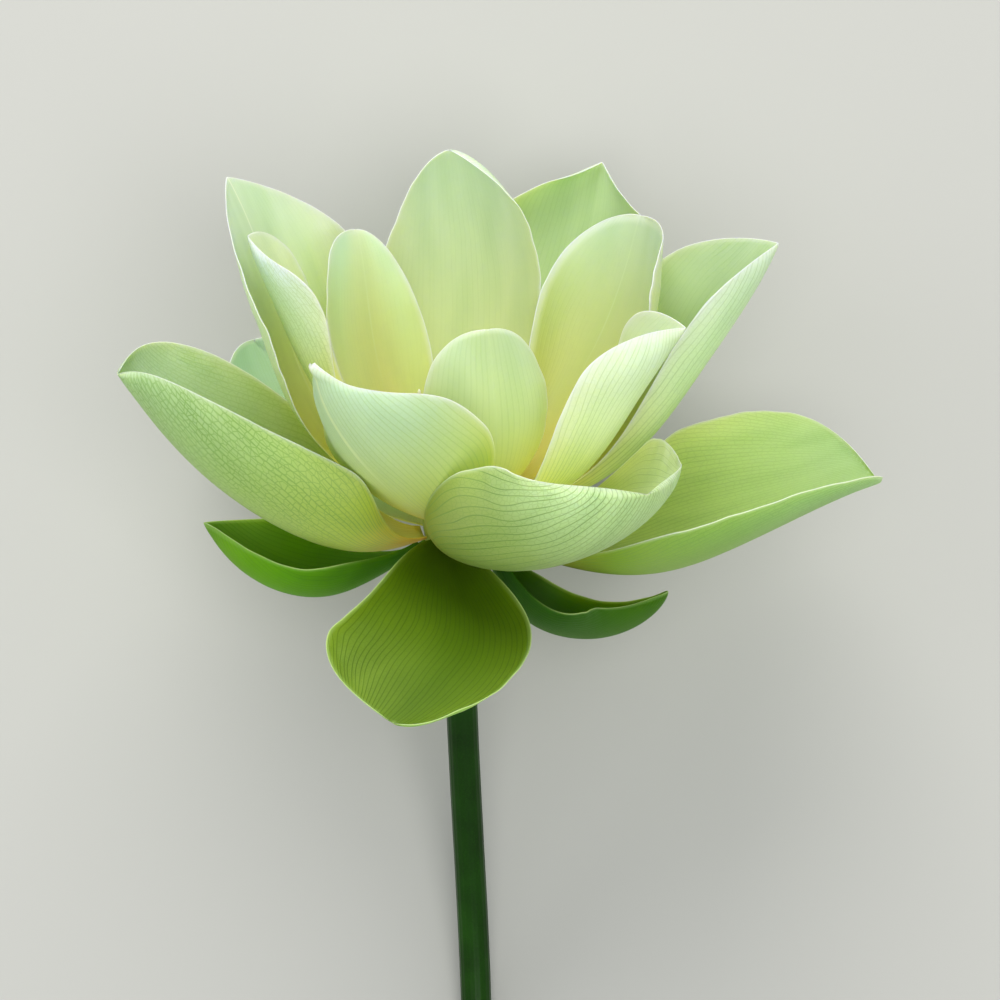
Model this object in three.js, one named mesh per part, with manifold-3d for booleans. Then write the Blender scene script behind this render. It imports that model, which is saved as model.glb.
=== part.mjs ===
// A cut lotus flower, laid down on its back petals. Millimetres, +Z up.
//
// The flower is first drawn upright in a frame of its own: x to the right, y to the back and z along
// the flower's axis, with the origin on that axis where the middle petals leave the receptacle.
// Then the whole flower is laid back until it rests on two outer petals and on its bent stem.

import * as THREE from 'three';
import { mergeVertices } from 'three/addons/utils/BufferGeometryUtils.js';
import Module from 'manifold-3d';

// How the flower lies: its axis rises by this angle, and its base is this far above the surface
const axisRise = THREE.MathUtils.degToRad(27.5);
const baseHeight = 73.2;
const pressedThickness = 0.6;

// Petal blades
const bladeThickness = 0.9;
const rimShare = 0.55;
const thinningToEdge = 4;
const thinningToTip = 6;
const rowsAlong = 12;
const cellsAcross = 8;
const tipCrowding = 1.35;
const tipFullness = 2.2;

// Receptacle: radius and height of each point of its outline, from the stem up to the flat top
const receptacleOutline = [
  [0, -8], [5, -8], [8, -7.2], [8.4, -6], [9.4, -4], [9.5, -2], [9.9, 0], [10, 3.6],
  [10.4, 5], [10.3, 7.4], [9.6, 8.6], [9.3, 12], [11.4, 20], [13.6, 28], [13.4, 29.6], [12.4, 30], [0, 30],
];
const receptacleSides = 24;
const carpelCircles = [{ radius: 0, count: 1 }, { radius: 4.6, count: 5 }, { radius: 9.2, count: 10 }];
const carpelOutline = [[0, -1.5], [1.5, -1.5], [1.5, 0.3], [0.9, 1], [0, 1.3]];
const carpelSides = 6;

// Stamens: a collar round the receptacle's waist, and circles of stamens that lean out from it
const collarOutline = [[10, 9.4], [12.2, 9.4], [12.4, 10.8], [11.6, 11.6], [10, 11.6]];
const collarSides = 32;
const stamenOutline = [
  [0, 0], [0.5, 0.1], [0.45, 13], [0.95, 14.2], [0.85, 20.4], [0.5, 21.2], [0.3, 24], [0, 24.2],
];
const stamenSides = 3;
const stamenCircles = [
  { count: 28, radius: 10.9, lean: 14, length: 0.86 },
  { count: 36, radius: 11.6, lean: 24, length: 1 },
];
const stamenRoot = 10.2;

// Stem
const stemDiameter = 9;
const stemSides = 12;
const stemSteps = 16;
const stemTop = -8.3;
const stemEnd = new THREE.Vector3(5, -149, 0);
const stemReach = [62, 40];
const stemPress = 0.6;

// Every petal starts on the receptacle at `ring` [radius, height] and ends at `tip` [x, y, z].
// lean: angle from the flower's axis at the root and at the tip, in degrees
// reach: how far the midrib holds those two directions, as shares of the petal's length
// width: across the blade at its widest, which lies at the share `widest` of the midrib
// claw: half the width at the root; fill: above 1 keeps the claw narrow for longer
// round: above 1 makes the end blunter before its point
// cup: half the arc of the cross-section at root, middle and tip, in degrees
// roll: turn about the midrib at root and tip; skew: cups one half more than the other
// lop: makes one half wider than the other, at root and tip
// sway: sideways bow of the midrib
// veer: turns the midrib's direction at the tip round the flower's axis, in degrees
// from: direction in which the root faces, in degrees, where it isn't that of the tip
const plainPetal = {
  lean: [80, 10], reach: [0.4, 0.4], widest: 0.58, claw: 4.5, fill: 1, round: 1.7,
  cup: [30, 45, 45], roll: [0, 0], skew: 0, lop: [0, 0], sway: 0, veer: 0,
};

const cream = { color: 0xd3e4ad, roughness: 0.5 };
const creamGreen = { color: 0xc3dca0, roughness: 0.5 };
const paleGreen = { color: 0xa9c86c, roughness: 0.5 };
const green = { color: 0x86a544, roughness: 0.5 };
const deepGreen = { color: 0x4f7a1e, roughness: 0.5 };

const petals = [
  {
    name: 'petal_inner_back_right', look: cream, tip: [52, 53, 75], ring: [11, 5], width: 76, lean: [61, 22],
    veer: 2, reach: [0.6, 0.22], cup: [18, 73, 22], round: 2.5, widest: 0.6, fill: 1.45, roll: [12, -26],
    skew: 0.2, lop: [-0.34, -0.42],
  },
  {
    name: 'petal_inner_back_left', look: cream, tip: [-29, 40, 74.5], ring: [11, 6], width: 37,
    lean: [61, 27], veer: -5, reach: [0.52, 0.24], cup: [20, 38, 18], round: 2.2, widest: 0.6, fill: 1.2,
    roll: [-13, 20], skew: -0.1, lop: [-0.25, 0.4],
  },
  {
    name: 'petal_inner_right', look: cream, tip: [61.5, -22, 64.5], ring: [11, 6], width: 53, lean: [77, 42],
    veer: -3, reach: [0.45, 0.38], cup: [18, 46, 91], round: 1.15, widest: 0.78, fill: 0.8, roll: [-4, 33],
    skew: -0.45, lop: [-0.44, -0.2],
  },
  {
    name: 'petal_inner_front', look: cream, tip: [8.5, -25, 65], ring: [11, 7], width: 41, lean: [64, -8],
    cup: [30, 50, 50], round: 2.2, widest: 0.64, fill: 1.6, claw: 4.1, sway: 1.5,
  },
  {
    name: 'petal_inner_left', look: cream, tip: [-56.5, -4, 85], ring: [11.1, 6.3], width: 50.5,
    lean: [51, 28], veer: 4, reach: [0.45, 0.2], cup: [18, 55, 24], round: 1.35, widest: 0.78, fill: 2.2,
    roll: [-13, -10], skew: 0.6, lop: [-0.45, 0.38],
  },
  {
    name: 'petal_middle_back', look: creamGreen, tip: [-3, 68, 90.5], ring: [11, 3], width: 55,
    lean: [82, -17], veer: -36, reach: [0.4, 0.3], cup: [28, 42, 81], round: 2.6, widest: 0.54, fill: 1.5,
    roll: [2, -9], skew: -0.15, lop: [0.4, -0.28], sway: -1,
  },
  {
    name: 'petal_middle_back_right', look: creamGreen, tip: [42, 88, 81.5], ring: [10.5, 0], width: 70,
    lean: [75, -10], veer: 38, reach: [0.32, 0.25], cup: [42, 20, 95], round: 1.15, widest: 0.66, fill: 1.75,
    roll: [-13, -28], skew: 0.6, lop: [0.2, -0.05],
  },
  {
    name: 'petal_middle_right', look: creamGreen, tip: [89.5, 24, 75], ring: [10.5, 2], width: 58,
    lean: [84, 40], veer: -2, reach: [0.45, 0.44], cup: [42, 74, 58], round: 1.15, widest: 0.78, fill: 0.8,
    roll: [12, 13], skew: -0.58, lop: [0.45, 0.02],
  },
  {
    name: 'petal_middle_left', look: creamGreen, tip: [-64, 24, 94], ring: [10.5, 2], width: 89,
    lean: [58, 28], veer: 4, reach: [0.53, 0.47], cup: [18, 46, 18], round: 1.15, widest: 0.72,
    roll: [-2, 8], skew: -0.18, lop: [-0.06, 0.22],
  },
  {
    name: 'petal_middle_front_left', look: cream, tip: [-36.5, -46.5, 61.5], ring: [11, 4.5], width: 68,
    lean: [65, 6], veer: 45, reach: [0.6, 0.24], cup: [18, 65, 39], round: 1.1, widest: 0.4, fill: 1.15,
    roll: [4, -33], skew: 0.4, lop: [0.02, 0.15], sway: 1, from: -109,
  },
  {
    name: 'petal_middle_front_right', look: paleGreen, tip: [50, -66, 33], ring: [10.5, -1.3], width: 103,
    lean: [89, 20], veer: 45, reach: [0.3, 0.37], cup: [36, 82, 45], round: 3.6, widest: 0.52, fill: 1.15,
    roll: [-3, 17], skew: -0.4, lop: [0.24, 0.08], from: -88,
  },
  {
    name: 'petal_outer_left', look: paleGreen, tip: [-91, -23.5, 52], ring: [10, -2], width: 81,
    lean: [100, 31], veer: -7, reach: [0.35, 0.38], cup: [47, 93, 66], round: 2.8, widest: 0.4, fill: 1.5,
    roll: [-15, -1], skew: 0.28, lop: [0.26, -0.3],
  },
  {
    name: 'petal_outer_right', look: paleGreen, tip: [117, -2.5, 14], ring: [10, -3.6], width: 97,
    lean: [116, 79], veer: 11, reach: [0.48, 0.3], cup: [63, 51, 30], round: 3.5, widest: 0.5, fill: 2.2,
    roll: [9, -7], skew: -0.2, lop: [-0.18, 0.42],
  },
  {
    name: 'petal_outer_front', look: green, tip: [-16, -87, -22.5], ring: [10, -4], width: 50.5,
    lean: [99, 109], veer: -27, reach: [0.35, 0.5], cup: [75, 20, 39], round: 3.5, widest: 0.78, fill: 0.8,
    roll: [-30, -10], skew: 0.6, lop: [-0.1, -0.3], sway: 4.5,
  },
  {
    name: 'petal_outer_back_left', look: creamGreen, tip: [-61, 97, 24], ring: [10, -3.6], width: 62,
    lean: [98, 56], cup: [30, 45, 40], round: 1.8,
  },
  {
    name: 'petal_outer_back_right', look: creamGreen, tip: [42, 88, 6], ring: [10, -3.6], width: 64,
    lean: [98, 70], cup: [30, 48, 40], round: 1.6,
  },
  {
    name: 'petal_outer_back', look: creamGreen, tip: [-8, 90, 31], ring: [10.2, -1.6], width: 38,
    lean: [84, 62], cup: [30, 35, 40], round: 1.5, fill: 1.5, claw: 3.5,
  },
  {
    name: 'sepal_left', look: deepGreen, tip: [-72, 10, -3], ring: [9, -6], width: 54, lean: [129, 56],
    veer: -28, reach: [0.43, 0.5], cup: [51, 57, 79], round: 1.15, widest: 0.5, fill: 1.75, roll: [-4, -19],
    skew: 0.42, lop: [0.44, -0.02],
  },
  {
    name: 'sepal_right', look: deepGreen, tip: [59, -1.5, -19.5], ring: [9, -7], width: 55, lean: [177, 24],
    veer: -19, reach: [0.61, 0.5], cup: [80, 49, 45], round: 1.2, widest: 0.5, fill: 0.8, roll: [-6, -33],
    skew: 0.34, lop: [-0.23, -0.06],
  },
];

const wasm = await Module();
wasm.setup();

// From the flower's own frame to the frame in which it lies
const layDown = new THREE.Matrix4().makeRotationX(axisRise - Math.PI / 2).setPosition(0, 0, baseHeight);

const flower = new THREE.Group();
flower.name = 'lotus_flower';

function addPiece(name, geometry, { color, roughness }) {
  geometry.computeVertexNormals();
  const piece = new THREE.Mesh(geometry, new THREE.MeshStandardMaterial({ color, roughness, metalness: 0 }));
  piece.name = name;
  flower.add(piece);
}

// Merges the vertices that a three.js geometry doubles at its seams, and drops the empty triangles
const mergeDistance = 1e-4;

function closedSkin(geometry) {
  geometry.deleteAttribute('normal');
  geometry.deleteAttribute('uv');
  const skin = mergeVertices(geometry, mergeDistance);
  const corners = skin.index.array;
  const triangles = [];
  for (let k = 0; k < corners.length; k += 3) {
    const [a, b, c] = corners.slice(k, k + 3);
    if (a !== b && b !== c && c !== a) {
      triangles.push(a, b, c);
    }
  }
  skin.setIndex(triangles);
  return skin;
}

function toSolid(geometry) {
  const skin = closedSkin(geometry);
  return new wasm.Manifold(new wasm.Mesh({
    numProp: 3,
    vertProperties: new Float32Array(skin.attributes.position.array),
    triVerts: new Uint32Array(skin.index.array),
  }));
}

function fused(solids) {
  const mesh = wasm.Manifold.union(solids).getMesh();
  const geometry = new THREE.BufferGeometry();
  geometry.setAttribute('position', new THREE.BufferAttribute(mesh.vertProperties, 3));
  geometry.setIndex(new THREE.BufferAttribute(mesh.triVerts, 1));
  return geometry;
}

// A body turned about the flower's axis from an outline of [radius, height] points
function turned(outline, sides) {
  const points = outline.map(([radius, height]) => new THREE.Vector2(radius, height));
  return new THREE.LatheGeometry(points, sides).rotateX(Math.PI / 2);
}

// Petals

// Unit direction that leans away from the flower's axis towards `aim`
function heading(leanDegrees, aim) {
  const lean = THREE.MathUtils.degToRad(leanDegrees);
  return new THREE.Vector3(Math.sin(lean) * Math.cos(aim), Math.sin(lean) * Math.sin(aim), Math.cos(lean));
}

function midribOf(petal, rootAim, tipAim) {
  const [radius, height] = petal.ring;
  const root = new THREE.Vector3(radius * Math.cos(rootAim), radius * Math.sin(rootAim), height);
  const tip = new THREE.Vector3(...petal.tip);
  const length = root.distanceTo(tip);
  const rootHandle = heading(petal.lean[0], rootAim).multiplyScalar(length * petal.reach[0]);
  const tipHeading = heading(petal.lean[1], tipAim + THREE.MathUtils.degToRad(petal.veer));
  const tipHandle = tipHeading.multiplyScalar(-length * petal.reach[1]);
  return new THREE.CubicBezierCurve3(root, rootHandle.add(root), tipHandle.add(tip), tip);
}

function halfWidthAt(petal, u) {
  const half = petal.width / 2;
  if (u < petal.widest) {
    const opening = Math.sin(Math.PI / 2 * u / petal.widest) ** petal.fill;
    return petal.claw + (half - petal.claw) * opening;
  }
  const pastWidest = (u - petal.widest) / (1 - petal.widest);
  return half * Math.max(0, 1 - pastWidest ** tipFullness) ** (1 / petal.round);
}

function cupAt([root, middle, tip], u) {
  const degrees = root * 2 * (u - 0.5) * (u - 1) + middle * 4 * u * (1 - u) + tip * 2 * u * (u - 0.5);
  return THREE.MathUtils.degToRad(degrees);
}

// The middle of the blade, as rows of points from root to tip, each row from one edge to the other
function bladeSurface(petal) {
  const tipAim = Math.atan2(petal.tip[1], petal.tip[0]);
  const rootAim = petal.from === undefined ? tipAim : THREE.MathUtils.degToRad(petal.from);
  const midrib = midribOf(petal, rootAim, tipAim);
  const rows = [];
  for (let i = 0; i <= rowsAlong; i += 1) {
    const u = 1 - (1 - i / rowsAlong) ** tipCrowding;
    const aim = rootAim + (tipAim - rootAim) * u;
    const along = midrib.getTangent(u);
    const across = new THREE.Vector3(-Math.sin(aim), Math.cos(aim), 0);
    across.addScaledVector(along, -across.dot(along)).normalize();
    const roll = THREE.MathUtils.degToRad(THREE.MathUtils.lerp(...petal.roll, u));
    across.applyAxisAngle(along, roll);
    const inward = along.clone().cross(across);
    const centre = midrib.getPoint(u);
    centre.addScaledVector(across, petal.sway * Math.sin(Math.PI * u));
    const row = [];
    for (let j = 0; j <= cellsAcross; j += 1) {
      const v = 2 * j / cellsAcross - 1;
      const half = halfWidthAt(petal, u) * (1 + THREE.MathUtils.lerp(...petal.lop, u) * Math.sign(v));
      const bend = cupAt(petal.cup, u) * (1 + petal.skew * Math.sign(v));
      const point = centre.clone();
      point.addScaledVector(across, half * Math.sin(bend * v) / bend);
      point.addScaledVector(inward, half * (1 - Math.cos(bend * v)) / bend);
      row.push(point);
    }
    rows.push(row);
  }
  return rows;
}

// Directions that stand square to the surface, towards its hollow side
function squareDirections(rows) {
  const last = rows.length - 1;
  const directions = rows.slice(0, last).map((row, i) => row.map((_, j) => {
    const along = rows[i + 1][j].clone().sub(rows[Math.max(i - 1, 0)][j]);
    const across = row[Math.min(j + 1, cellsAcross)].clone().sub(row[Math.max(j - 1, 0)]);
    return along.cross(across).normalize();
  }));
  const nearTip = directions[last - 1];
  const atTip = nearTip.reduce((sum, direction) => sum.add(direction), new THREE.Vector3()).normalize();
  directions.push(nearTip.map(() => atTip));
  return directions;
}

// Closed blade: vertex pairs, one on the hollow side and one on the outer side, from root to tip.
// The pair at the tip is shared by the whole last row.
function bladeGeometry(petal) {
  const rows = bladeSurface(petal);
  const directions = squareDirections(rows);
  const positions = [];
  const addPair = (i, j) => {
    const toTip = i / rowsAlong;
    const toEdge = Math.abs(2 * j / cellsAcross - 1);
    const thinning = (1 - rimShare) * Math.max(toEdge ** thinningToEdge, toTip ** thinningToTip);
    const halfThickness = bladeThickness / 2 * (1 - thinning);
    const inner = rows[i][j].clone().addScaledVector(directions[i][j], halfThickness).applyMatrix4(layDown);
    const outer = rows[i][j].clone().addScaledVector(directions[i][j], -halfThickness).applyMatrix4(layDown);
    if (outer.z < 0) {
      outer.z = 0;
      inner.z = Math.max(inner.z, pressedThickness);
    }
    positions.push(...inner.toArray(), ...outer.toArray());
  };
  for (let i = 0; i < rowsAlong; i += 1) {
    for (let j = 0; j <= cellsAcross; j += 1) {
      addPair(i, j);
    }
  }
  addPair(rowsAlong, cellsAcross / 2);

  const triangles = [];
  const addQuad = (a, b, c, d) => {
    for (const [p, q, r] of [[a, b, c], [a, c, d]]) {
      if (p !== q && q !== r && r !== p) {
        triangles.push(p, q, r);
      }
    }
  };
  const inner = (i, j) => 2 * Math.min(i * (cellsAcross + 1) + j, rowsAlong * (cellsAcross + 1));
  const outer = (i, j) => inner(i, j) + 1;
  const edge = cellsAcross;
  for (let i = 0; i < rowsAlong; i += 1) {
    for (let j = 0; j < cellsAcross; j += 1) {
      addQuad(inner(i, j), inner(i + 1, j), inner(i + 1, j + 1), inner(i, j + 1));
      addQuad(outer(i, j), outer(i, j + 1), outer(i + 1, j + 1), outer(i + 1, j));
    }
    addQuad(inner(i, 0), outer(i, 0), outer(i + 1, 0), inner(i + 1, 0));
    addQuad(inner(i, edge), inner(i + 1, edge), outer(i + 1, edge), outer(i, edge));
  }
  for (let j = 0; j < cellsAcross; j += 1) {
    addQuad(inner(0, j), inner(0, j + 1), outer(0, j + 1), outer(0, j));
  }
  const geometry = new THREE.BufferGeometry();
  geometry.setAttribute('position', new THREE.Float32BufferAttribute(positions, 3));
  geometry.setIndex(triangles);
  return geometry;
}

for (const petal of petals) {
  addPiece(petal.name, bladeGeometry({ ...plainPetal, ...petal }), petal.look);
}

// Receptacle with its carpels, which stand out of the flat top
const receptacleTop = receptacleOutline.at(-1)[1];
const receptacleParts = [toSolid(turned(receptacleOutline, receptacleSides))];
for (const { radius, count } of carpelCircles) {
  for (let k = 0; k < count; k += 1) {
    const aim = 2 * Math.PI * k / count;
    const carpel = turned(carpelOutline, carpelSides);
    carpel.translate(radius * Math.cos(aim), radius * Math.sin(aim), receptacleTop);
    receptacleParts.push(toSolid(carpel));
  }
}
addPiece('receptacle', fused(receptacleParts).applyMatrix4(layDown), { color: 0xc9c75a, roughness: 0.55 });

// Stamens, rooted in one collar
const collarLoop = [...collarOutline, collarOutline[0]];
const stamenParts = [toSolid(turned(collarLoop, collarSides))];
stamenCircles.forEach(({ count, radius, lean, length }, circle) => {
  for (let k = 0; k < count; k += 1) {
    const aim = 2 * Math.PI * (k + circle / 2) / count;
    const stamen = turned(stamenOutline, stamenSides);
    stamen.scale(1, 1, length);
    stamen.rotateY(THREE.MathUtils.degToRad(lean));
    stamen.translate(radius, 0, stamenRoot);
    stamen.rotateZ(aim);
    stamenParts.push(toSolid(stamen));
  }
});
addPiece('stamens', fused(stamenParts).applyMatrix4(layDown), { color: 0xe6c64a, roughness: 0.6 });

// Stem: it leaves the receptacle along the flower's axis, bends and ends lying on the surface
const stemRadius = stemDiameter / 2;
const axisDown = new THREE.Vector3(0, 0, -1).transformDirection(layDown);
const stemStart = new THREE.Vector3(0, 0, stemTop).applyMatrix4(layDown);
const stemFoot = stemEnd.clone().setZ(stemRadius * Math.cos(Math.PI / stemSides) - stemPress);
const stemLine = new THREE.CubicBezierCurve3(
  stemStart,
  stemStart.clone().addScaledVector(axisDown, stemReach[0]),
  stemFoot.clone().add(new THREE.Vector3(0, stemReach[1], 0)),
  stemFoot,
);
const stemSection = new THREE.Shape();
for (let k = 0; k < stemSides; k += 1) {
  const turn = 2 * Math.PI * (k + 0.5) / stemSides;
  const corner = [stemRadius * Math.cos(turn), stemRadius * Math.sin(turn)];
  if (k === 0) {
    stemSection.moveTo(...corner);
  } else {
    stemSection.lineTo(...corner);
  }
}
const stemSweep = new THREE.ExtrudeGeometry(stemSection, { steps: stemSteps, extrudePath: stemLine });
const stemBody = closedSkin(stemSweep);
const stemCorners = stemBody.attributes.position;
for (let k = 0; k < stemCorners.count; k += 1) {
  stemCorners.setZ(k, Math.max(stemCorners.getZ(k), 0));
}
addPiece('stem', stemBody, { color: 0x2f5214, roughness: 0.45 });

// The part's origin is the middle of its footprint, on the surface
const extent = new THREE.Box3().setFromObject(flower);
const centre = extent.getCenter(new THREE.Vector3());
flower.position.set(-centre.x, -centre.y, -extent.min.z);

export default flower;
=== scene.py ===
import math
import random

import bpy
import numpy as np
from mathutils import Matrix, Vector, noise


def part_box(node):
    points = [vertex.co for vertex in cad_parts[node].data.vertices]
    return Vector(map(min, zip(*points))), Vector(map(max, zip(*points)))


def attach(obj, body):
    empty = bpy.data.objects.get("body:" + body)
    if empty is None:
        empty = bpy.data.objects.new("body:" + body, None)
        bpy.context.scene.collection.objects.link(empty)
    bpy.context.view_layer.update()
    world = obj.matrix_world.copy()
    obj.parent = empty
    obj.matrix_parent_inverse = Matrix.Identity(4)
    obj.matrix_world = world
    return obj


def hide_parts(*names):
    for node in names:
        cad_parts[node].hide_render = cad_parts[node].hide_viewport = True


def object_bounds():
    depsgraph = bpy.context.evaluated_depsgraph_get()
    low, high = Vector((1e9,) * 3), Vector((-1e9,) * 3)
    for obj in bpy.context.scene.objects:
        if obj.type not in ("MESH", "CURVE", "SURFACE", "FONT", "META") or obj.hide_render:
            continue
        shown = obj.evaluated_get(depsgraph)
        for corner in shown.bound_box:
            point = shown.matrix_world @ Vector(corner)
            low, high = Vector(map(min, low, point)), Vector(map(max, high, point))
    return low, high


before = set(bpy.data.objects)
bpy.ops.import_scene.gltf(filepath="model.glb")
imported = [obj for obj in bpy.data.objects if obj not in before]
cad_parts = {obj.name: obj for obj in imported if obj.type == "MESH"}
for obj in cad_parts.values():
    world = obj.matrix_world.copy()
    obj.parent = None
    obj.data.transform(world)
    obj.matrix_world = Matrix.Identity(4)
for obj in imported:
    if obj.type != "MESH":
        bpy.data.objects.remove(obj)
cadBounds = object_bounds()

mm = 0.001  # the flower is drawn in millimetres, and Blender's unit is the metre

# How the flower lies on the surface: its axis rises by this angle, its base is this high
lying = {"axisRise": 27.5, "baseHeight": 73.2, "pressedThickness": 0.6}


# From the flower's own frame (x right, y back, z along its axis) to the frame it lies in
def laidDown(points):
    rise = math.radians(lying["axisRise"])
    x, y, z = points[..., 0], points[..., 1], points[..., 2]
    height = z * math.sin(rise) - y * math.cos(rise) + lying["baseHeight"]
    return np.stack([x, y * math.sin(rise) + z * math.cos(rise), height], axis=-1)


def unit(vectors):
    return vectors / np.linalg.norm(vectors, axis=-1, keepdims=True)


def between(first, last, share):
    return first + (last - first) * share


# 0 below low, 1 above high, and a soft step in between
def eased(value, low, high):
    share = np.clip((value - low) / (high - low), 0, 1)
    return share * share * (3 - 2 * share)


# sRGB hex colour as the linear colour that a shader takes
def tint(code):
    shares = [int(code[k:k + 2], 16) / 255 for k in (1, 3, 5)]
    return tuple(s / 12.92 if s <= 0.04045 else ((s + 0.055) / 1.055) ** 2.4 for s in shares) + (1,)


# One output of a shader node. Arithmetic on it adds Math nodes, and node() adds any other node.
class Wire:
    def __init__(self, tree, socket=None):
        self.tree = tree
        self.socket = socket

    def node(self, kind, settings=None, sockets=None, output=0):
        made = self.tree.nodes.new("ShaderNode" + kind)
        for name, value in (settings or {}).items():
            if name == "stops":
                fillRamp(made.color_ramp, value)
            else:
                setattr(made, name, value)
        for name, value in (sockets or {}).items():
            if isinstance(value, Wire):
                self.tree.links.new(value.socket, made.inputs[name])
            else:
                made.inputs[name].default_value = value
        return Wire(self.tree, made.outputs[output] if made.outputs else None)

    def maths(self, operation, *values):
        return self.node("Math", {"operation": operation}, dict(enumerate(values)))

    def __add__(self, other):
        return self.maths("ADD", self, other)

    def __radd__(self, other):
        return self.maths("ADD", other, self)

    def __sub__(self, other):
        return self.maths("SUBTRACT", self, other)

    def __rsub__(self, other):
        return self.maths("SUBTRACT", other, self)

    def __mul__(self, other):
        return self.maths("MULTIPLY", self, other)

    def __rmul__(self, other):
        return self.maths("MULTIPLY", other, self)

    def __truediv__(self, other):
        return self.maths("DIVIDE", self, other)

    def __rtruediv__(self, other):
        return self.maths("DIVIDE", other, self)

    def __abs__(self):
        return self.maths("ABSOLUTE", self)

    # Distance to the nearest whole number
    def fromWhole(self):
        return self.maths("PINGPONG", self, 0.5)

    def larger(self, other):
        return self.maths("MAXIMUM", self, other)

    # 0 at low, 1 at high, and a soft step in between. High may be below low
    def eased(self, low, high):
        sockets = {"Value": self, "From Min": low, "From Max": high}
        return self.node("MapRange", {"interpolation_type": "SMOOTHSTEP"}, sockets)

    def ramp(self, stops):
        return self.node("ValToRGB", {"stops": stops}, {"Fac": self})

    # This wire is the share of the second colour
    def mixed(self, first, second):
        return self.node("Mix", {"data_type": "RGBA"}, {0: self, 6: first, 7: second}, 2)

    # A float that the mesh carries at each of its points
    def reading(self, name):
        return self.node("Attribute", {"attribute_name": name}, output="Fac")

    def noise(self, place, scale, detail=2.0):
        sockets = {"Vector": place, "Scale": scale, "Detail": detail}
        return self.node("TexNoise", {}, sockets, "Fac")


def fillRamp(ramp, stops):
    while len(ramp.elements) < len(stops):
        ramp.elements.new(1)
    for element, (position, colour) in zip(ramp.elements, stops):
        element.position = position
        element.color = tint(colour)


def newMaterial(name):
    material = bpy.data.materials.new(name)
    material.use_nodes = True
    material.node_tree.nodes.clear()
    return material, Wire(material.node_tree)


# The material's shader: sockets that differ over the surface come as wires
def dress(paint, sockets, height, relief):
    bump = paint.node("Bump", {}, {"Height": height, "Strength": 1.0, "Distance": relief * mm})
    shader = paint.node("BsdfPrincipled", {}, {**sockets, "Normal": bump}, "BSDF")
    paint.node("OutputMaterial", {}, {"Surface": shader})


def newObject(name, content):
    made = bpy.data.objects.new(name, content)
    bpy.context.scene.collection.objects.link(made)
    return made


# Points in mm, in the frame that the flower lies in. The nodes are those that the piece replaces
def newPiece(name, points, faces, material, slot, *nodes):
    mesh = bpy.data.meshes.new(name)
    mesh.from_pydata((np.asarray(points) * mm).tolist(), [], faces)
    mesh.update()
    mesh.shade_smooth()
    mesh.materials.append(material)
    piece = newObject(name, mesh)
    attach(piece, "root")
    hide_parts(*nodes)
    return piece


def addReadings(mesh, readings):
    for name, values in readings.items():
        attribute = mesh.attributes.new(name, "FLOAT", "POINT")
        attribute.data.foreach_set("value", np.asarray(values, np.float32).ravel())


def turnsRound(sides):
    return 2 * math.pi * np.arange(sides) / sides


# Two directions square to a line at each of its points, the first also square to another direction
def squareTo(line, other):
    forward = unit(np.gradient(line, axis=0))
    aside = unit(np.cross(forward, other))
    return aside, np.cross(forward, aside)


# Quads between rings of points that follow one another
def bandFaces(rings, sides):
    low = np.arange(rings - 1)[:, None] * sides
    at = np.arange(sides)
    after = (at + 1) % sides
    quads = np.stack([low + at, low + sides + at, low + sides + after, low + after], axis=-1)
    return quads.reshape(-1, 4).tolist()


# The same, closed with two more points, one in the middle of the first ring and one of the last
def closedFaces(rings, sides):
    foot, last = rings * sides, (rings - 1) * sides
    around = [(k, (k + 1) % sides) for k in range(sides)]
    faces = bandFaces(rings, sides) + [[foot, a, b] for a, b in around]
    return faces + [[foot + 1, last + b, last + a] for a, b in around]


# Petal blades

bladeBuild = {
    "rows": 88,             # along the midrib
    "cells": 44,            # from edge to edge
    "tipCrowding": 1.9,     # above 1 brings the rows closer together towards the tip
    "edgeCrowding": 0.86,   # towards 1 brings the cells closer together at the edges
    "thickness": 0.62,      # in the middle, mm
    "rimShare": 0.34,       # how much of it is left at the rim
    "rimBulge": 0.7,        # how far the rim rounds out, as a share of half its thickness
    "ripple": 0.32,         # soft unevenness of the blade, mm
    "rippleLength": 17,     # mm
    "wave": 0.18,           # how far the edges wave, mm
    "waveLength": 19,       # mm
    "waveGrowth": 3,        # higher keeps the waves closer to the edges
    "waveShift": (2.4, 1.7),          # from petal to petal, and between the edges of one petal
    "shortWave": (0.5, 0.43, 2.1),    # height, length and shift of a second wave, as shares of the first
    "rippleStart": (0.3, 0.65),       # where ripple and waves set in and fade out, as shares of the length
    "rippleEnd": (0.9, 1),
    "lipWidth": 3.5,        # mm
    "hookLength": 4,        # mm
}

# How the solids that stand for the petals elsewhere are divided
solidBuild = {"rows": 12, "cells": 8, "tipCrowding": 1.35, "thickness": 0.9, "rimShare": 0.55}
tipFullness = 2.2       # higher keeps a petal wide for longer before it closes to its tip
thinningToEdge = 4      # higher keeps a petal thick closer to its edges
thinningToTip = 6

# tip: mm right of, behind and above the flower's base. ring: radius and height of the root
# lean: degrees from the flower's axis at the root and at the tip. veer: degrees that the tip turns aside
# reach: how far the midrib keeps those two directions, as shares of its length. width, claw: mm
# widest: share of the length. fill, round: how full the blade is below and above its widest place
# cup: how far the section bends at the root, in the middle and at the tip. roll: twist at root and tip
# skew, lop: how much more the one half bends, and how much wider it is. sway, hook, lip: mm
plainPetal = {
    "reach": (0.4, 0.4), "widest": 0.58, "claw": 4.5, "fill": 1, "roll": (0, 0), "skew": 0,
    "lop": (0, 0), "sway": 0, "veer": 0, "hook": 0, "lip": 0, "finish": "cream",
}

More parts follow.
